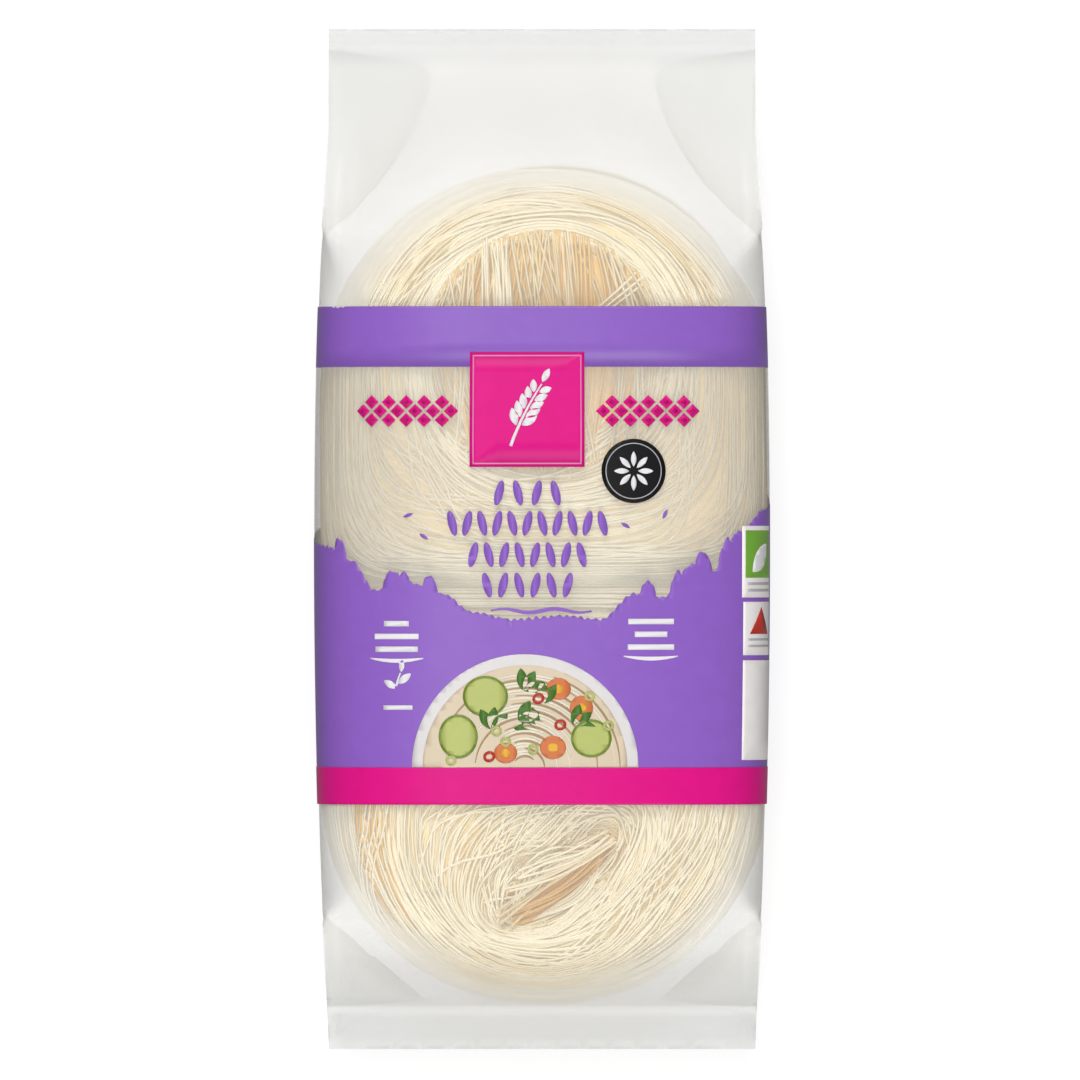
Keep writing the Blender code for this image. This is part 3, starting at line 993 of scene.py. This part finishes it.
# White marks on the hills: ruled bars where small print would be, brush strokes and a sprig.
marks = []
for middle, widths, top in ((-40.0, (7.0, 12.4, 12.0), -22.4), (29.8, (12.6, 9.0, 12.8), -21.8)):
    for i, width in enumerate(widths):
        high = top - 3.5 * i
        marks.append(box_outline(middle - width / 2, middle + width / 2, high - 1.5, high))
    brush = [(middle + u, top - 10.9 + 0.012 * u * u) for u in np.linspace(-7.5, 7.5, 20)]
    marks.append(stroke(brush, 0.25 + 0.8 * np.sin(np.linspace(0.1, 3.05, 20))))
sprig = [(-40.4 + 1.5 * t * t, -43.2 + 6.6 * t) for t in np.linspace(0, 1, 10)]
marks.append(stroke(sprig, np.linspace(0.8, 0.4, 10)))
marks += [leaf(-40.0, -40.8, 4.2, 1.9, 150), leaf(-39.6, -39.6, 4.6, 2.0, 38), leaf(-38.7, -36.4, 3.4, 1.5, 85)]
marks.append(box_outline(-43.8, -35.6, -46.7, -45.5))
printed("white_marks", marks, WHITE, 3)

# The bowl, seen from above and cut by the foot band: a white rim, pale noodles in broth, greens,
# carrot rounds and chilli rings, all as plain shapes.
BOWL_X, BOWL_Y = -4.7, -62.7
CUT = FOOT_BAND_HEAD
BOWL_INKS = {
    "rim": ink("bowl_rim_ink", screen(226, 222, 222)),
    "skin": ink("bowl_skin_ink", screen(120, 142, 52)),
    "broth": ink("bowl_broth_ink", screen(222, 205, 178)),
    "noodle": ink("bowl_noodle_ink", screen(240, 231, 210)),
    "shade": ink("bowl_shade_ink", screen(176, 146, 110)),
    "carrot": ink("bowl_carrot_ink", screen(214, 122, 72)),
    "green": ink("bowl_green_ink", screen(74, 120, 44)),
    "light_green": ink("bowl_light_green_ink", screen(186, 194, 112)),
    "red": ink("bowl_red_ink", screen(190, 52, 40)),
    "yolk": ink("bowl_yolk_ink", screen(238, 178, 60)),
}


def in_bowl(name, outlines, tint, layer):
    return printed("bowl_" + name, outlines, BOWL_INKS[tint], layer, floor_y=CUT)


in_bowl("rim", [oval(BOWL_X, BOWL_Y, 31.2, 31.2, points=96)], "rim", 3)
in_bowl("broth", [oval(BOWL_X, BOWL_Y, 28.2, 28.2, points=96)], "broth", 4)
rng = random.Random(5)
swirls = {"shade": [], "noodle": []}
for i in range(34):
    tint = "shade" if i % 3 == 0 else "noodle"
    radius = 3.0 + 23.5 * (i + 0.5) / 34
    start = rng.uniform(0, 70)
    swirls[tint].append(arc_stroke(BOWL_X, BOWL_Y, radius, start, start + rng.uniform(70, 110), 0.62))
in_bowl("noodle_shade", swirls["shade"], "shade", 5)
in_bowl("noodles", swirls["noodle"], "noodle", 6)
ROUNDS = ((-15.5, -43.0, 6.2, 5.6), (-23.0, -54.0, 5.4, 6.0), (13.5, -54.5, 5.6, 5.2))
in_bowl("cucumber_skins", [oval(x, y, wide, high) for x, y, wide, high in ROUNDS], "skin", 7)
in_bowl("cucumbers", [oval(x, y, wide - 0.7, high - 0.7) for x, y, wide, high in ROUNDS], "light_green", 8)
CARROTS = ((4.5, -41.0, 3.4, 3.0), (10.8, -46.2, 3.2, 3.4), (3.0, -57.0, 3.6, 3.2), (-10.0, -58.5, 3.2, 2.8))
in_bowl("carrots", [oval(*place) for place in CARROTS], "carrot", 7)
in_bowl("carrot_hearts", [oval(x, y, 0.4 * wide, 0.4 * high) for x, y, wide, high in CARROTS], "yolk", 8)
herbs = []
HERBS = ((-5.0, -41.5, 60), (0.5, -45.0, 95), (-6.5, -49.5, 20), (-1.5, -52.0, 140), (8.5, -51.0, 35), (-14.0, -52.0, 80))
for x, y, turn in HERBS:
    for spread in (-38, 0, 38):
        herbs.append(leaf(x, y, 6.2, 3.0, turn + spread))
in_bowl("herbs", herbs, "green", 9)
onions = []
for x, y in ((-12.5, -52.5), (-10.0, -55.5), (-2.5, -57.5), (13.0, -43.0), (18.2, -51.0), (-25.0, -60.5)):
    onions += [oval(x, y, 1.5, 1.4, points=20), oval(x, y, 0.8, 0.7, points=20)]
in_bowl("spring_onions", onions, "light_green", 9)
chillies = []
for x, y in ((-1.0, -43.6), (5.0, -50.8), (-14.5, -59.5)):
    chillies += [oval(x, y, 1.7, 1.5, 20, points=20), oval(x, y, 0.9, 0.75, 20, points=20)]
in_bowl("chillies", chillies, "red", 8)

# Plain panels on the right-hand side: a green tile, a red mark and a blank label; a label behind.
SIDE_X = 56.4
panels = [
    box_outline(SIDE_X, SIDE_X + 17, -16.0, 3.6),
    box_outline(SIDE_X + 0.5, SIDE_X + 17, -31.8, -17.2),
    box_outline(SIDE_X + 0.5, SIDE_X + 25, -60.5, -33.2),
]
BEHIND = HALF_ROUND
panels.append(box_outline(BEHIND - 46, BEHIND - 6, -56.0, 38.0))
printed("side_panels", panels, PANEL_WHITE, 3)
TILE_GREEN = ink("tile_green_ink", screen(122, 180, 62))
printed("green_tile", [box_outline(SIDE_X + 1.2, SIDE_X + 15.8, -10.6, 2.4)], TILE_GREEN, 4)
printed("green_tile_leaf", [leaf(SIDE_X + 4.0, -9.0, 11.5, 5.6, 42)], WHITE, 5)
rules = [box_outline(SIDE_X + 2, SIDE_X + 15, y - 0.7, y) for y in (-11.9, -13.7)]
rules += [box_outline(SIDE_X + 2.4, SIDE_X + 15, y - 0.6, y) for y in (-27.2, -29.0)]
for i in range(22):
    rules.append(box_outline(BEHIND - 43, BEHIND - 9 - (i * 7 % 11), 34 - 2.4 * i - 0.7, 34 - 2.4 * i))
rules += [box_outline(BEHIND - 42 + 1.5 * i, BEHIND - 41.4 + 1.5 * i + 0.35 * (i * 5 % 3), -53, -32) for i in range(20)]
printed("panel_rules", rules, GREY, 4)
printed("red_mark", [[(SIDE_X + 3, -26.0), (SIDE_X + 14, -26.0), (SIDE_X + 8.5, -18.6)]], BOWL_INKS["red"], 4)


# ---------------------------------------------------------------------------------------------
# The stage: a pale floor, soft light from above and a camera straight over the pack.
# ---------------------------------------------------------------------------------------------
bpy.ops.mesh.primitive_plane_add(size=8.0, location=(0, 0, -0.0002))
floor = bpy.context.object
floor.name = "floor"
pale = bpy.data.materials.new("pale_floor")
pale.use_nodes = True
pale_shader = pale.node_tree.nodes["Principled BSDF"]
pale_shader.inputs["Base Color"].default_value = (0.30, 0.30, 0.30, 1)
pale_shader.inputs["Roughness"].default_value = 0.9
pale_shader.inputs["Specular IOR Level"].default_value = 0.0
pale_shader.inputs["Emission Color"].default_value = (1.0, 1.0, 1.0, 1)
pale_shader.inputs["Emission Strength"].default_value = 0.76
floor.data.materials.append(pale)
floor.visible_diffuse = False
floor.visible_glossy = False
floor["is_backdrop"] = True

world = bpy.data.worlds.new("soft_studio")
world.use_nodes = True
world.node_tree.nodes["Background"].inputs["Color"].default_value = (1.0, 1.0, 1.0, 1)
world.node_tree.nodes["Background"].inputs["Strength"].default_value = 0.28
bpy.context.scene.world = world


def soft_light(name, place, size, power):
    data = bpy.data.lights.new(name, "AREA")
    data.size = size
    data.energy = power
    light = bpy.data.objects.new(name, data)
    light.location = place
    light.rotation_euler = (-Vector(place)).to_track_quat("-Z", "Y").to_euler()
    bpy.context.scene.collection.objects.link(light)


soft_light("head_softbox", (-0.2, 1.75, 1.55), 1.2, 37.0)
soft_light("foot_softbox", (0.2, -1.75, 1.55), 1.2, 30.0)
soft_light("sheen_light", (-0.3, 0.1, 2.0), 0.5, 7.0)

LENS = 900.0
camera_data = bpy.data.cameras.new("camera")
camera_data.lens = LENS
camera_data.sensor_width = 36.0
camera_data.clip_start = 0.05
camera = bpy.data.objects.new("camera", camera_data)
bpy.context.scene.collection.objects.link(camera)
FRAME_WIDTH = 295.9 * MM
camera.location = (-0.55 * MM, -0.27 * MM, MIDDLE_Z + 12 * MM + FRAME_WIDTH * LENS / 36.0)
bpy.context.scene.camera = camera
bpy.context.scene.view_settings.view_transform = "Standard"

low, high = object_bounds()
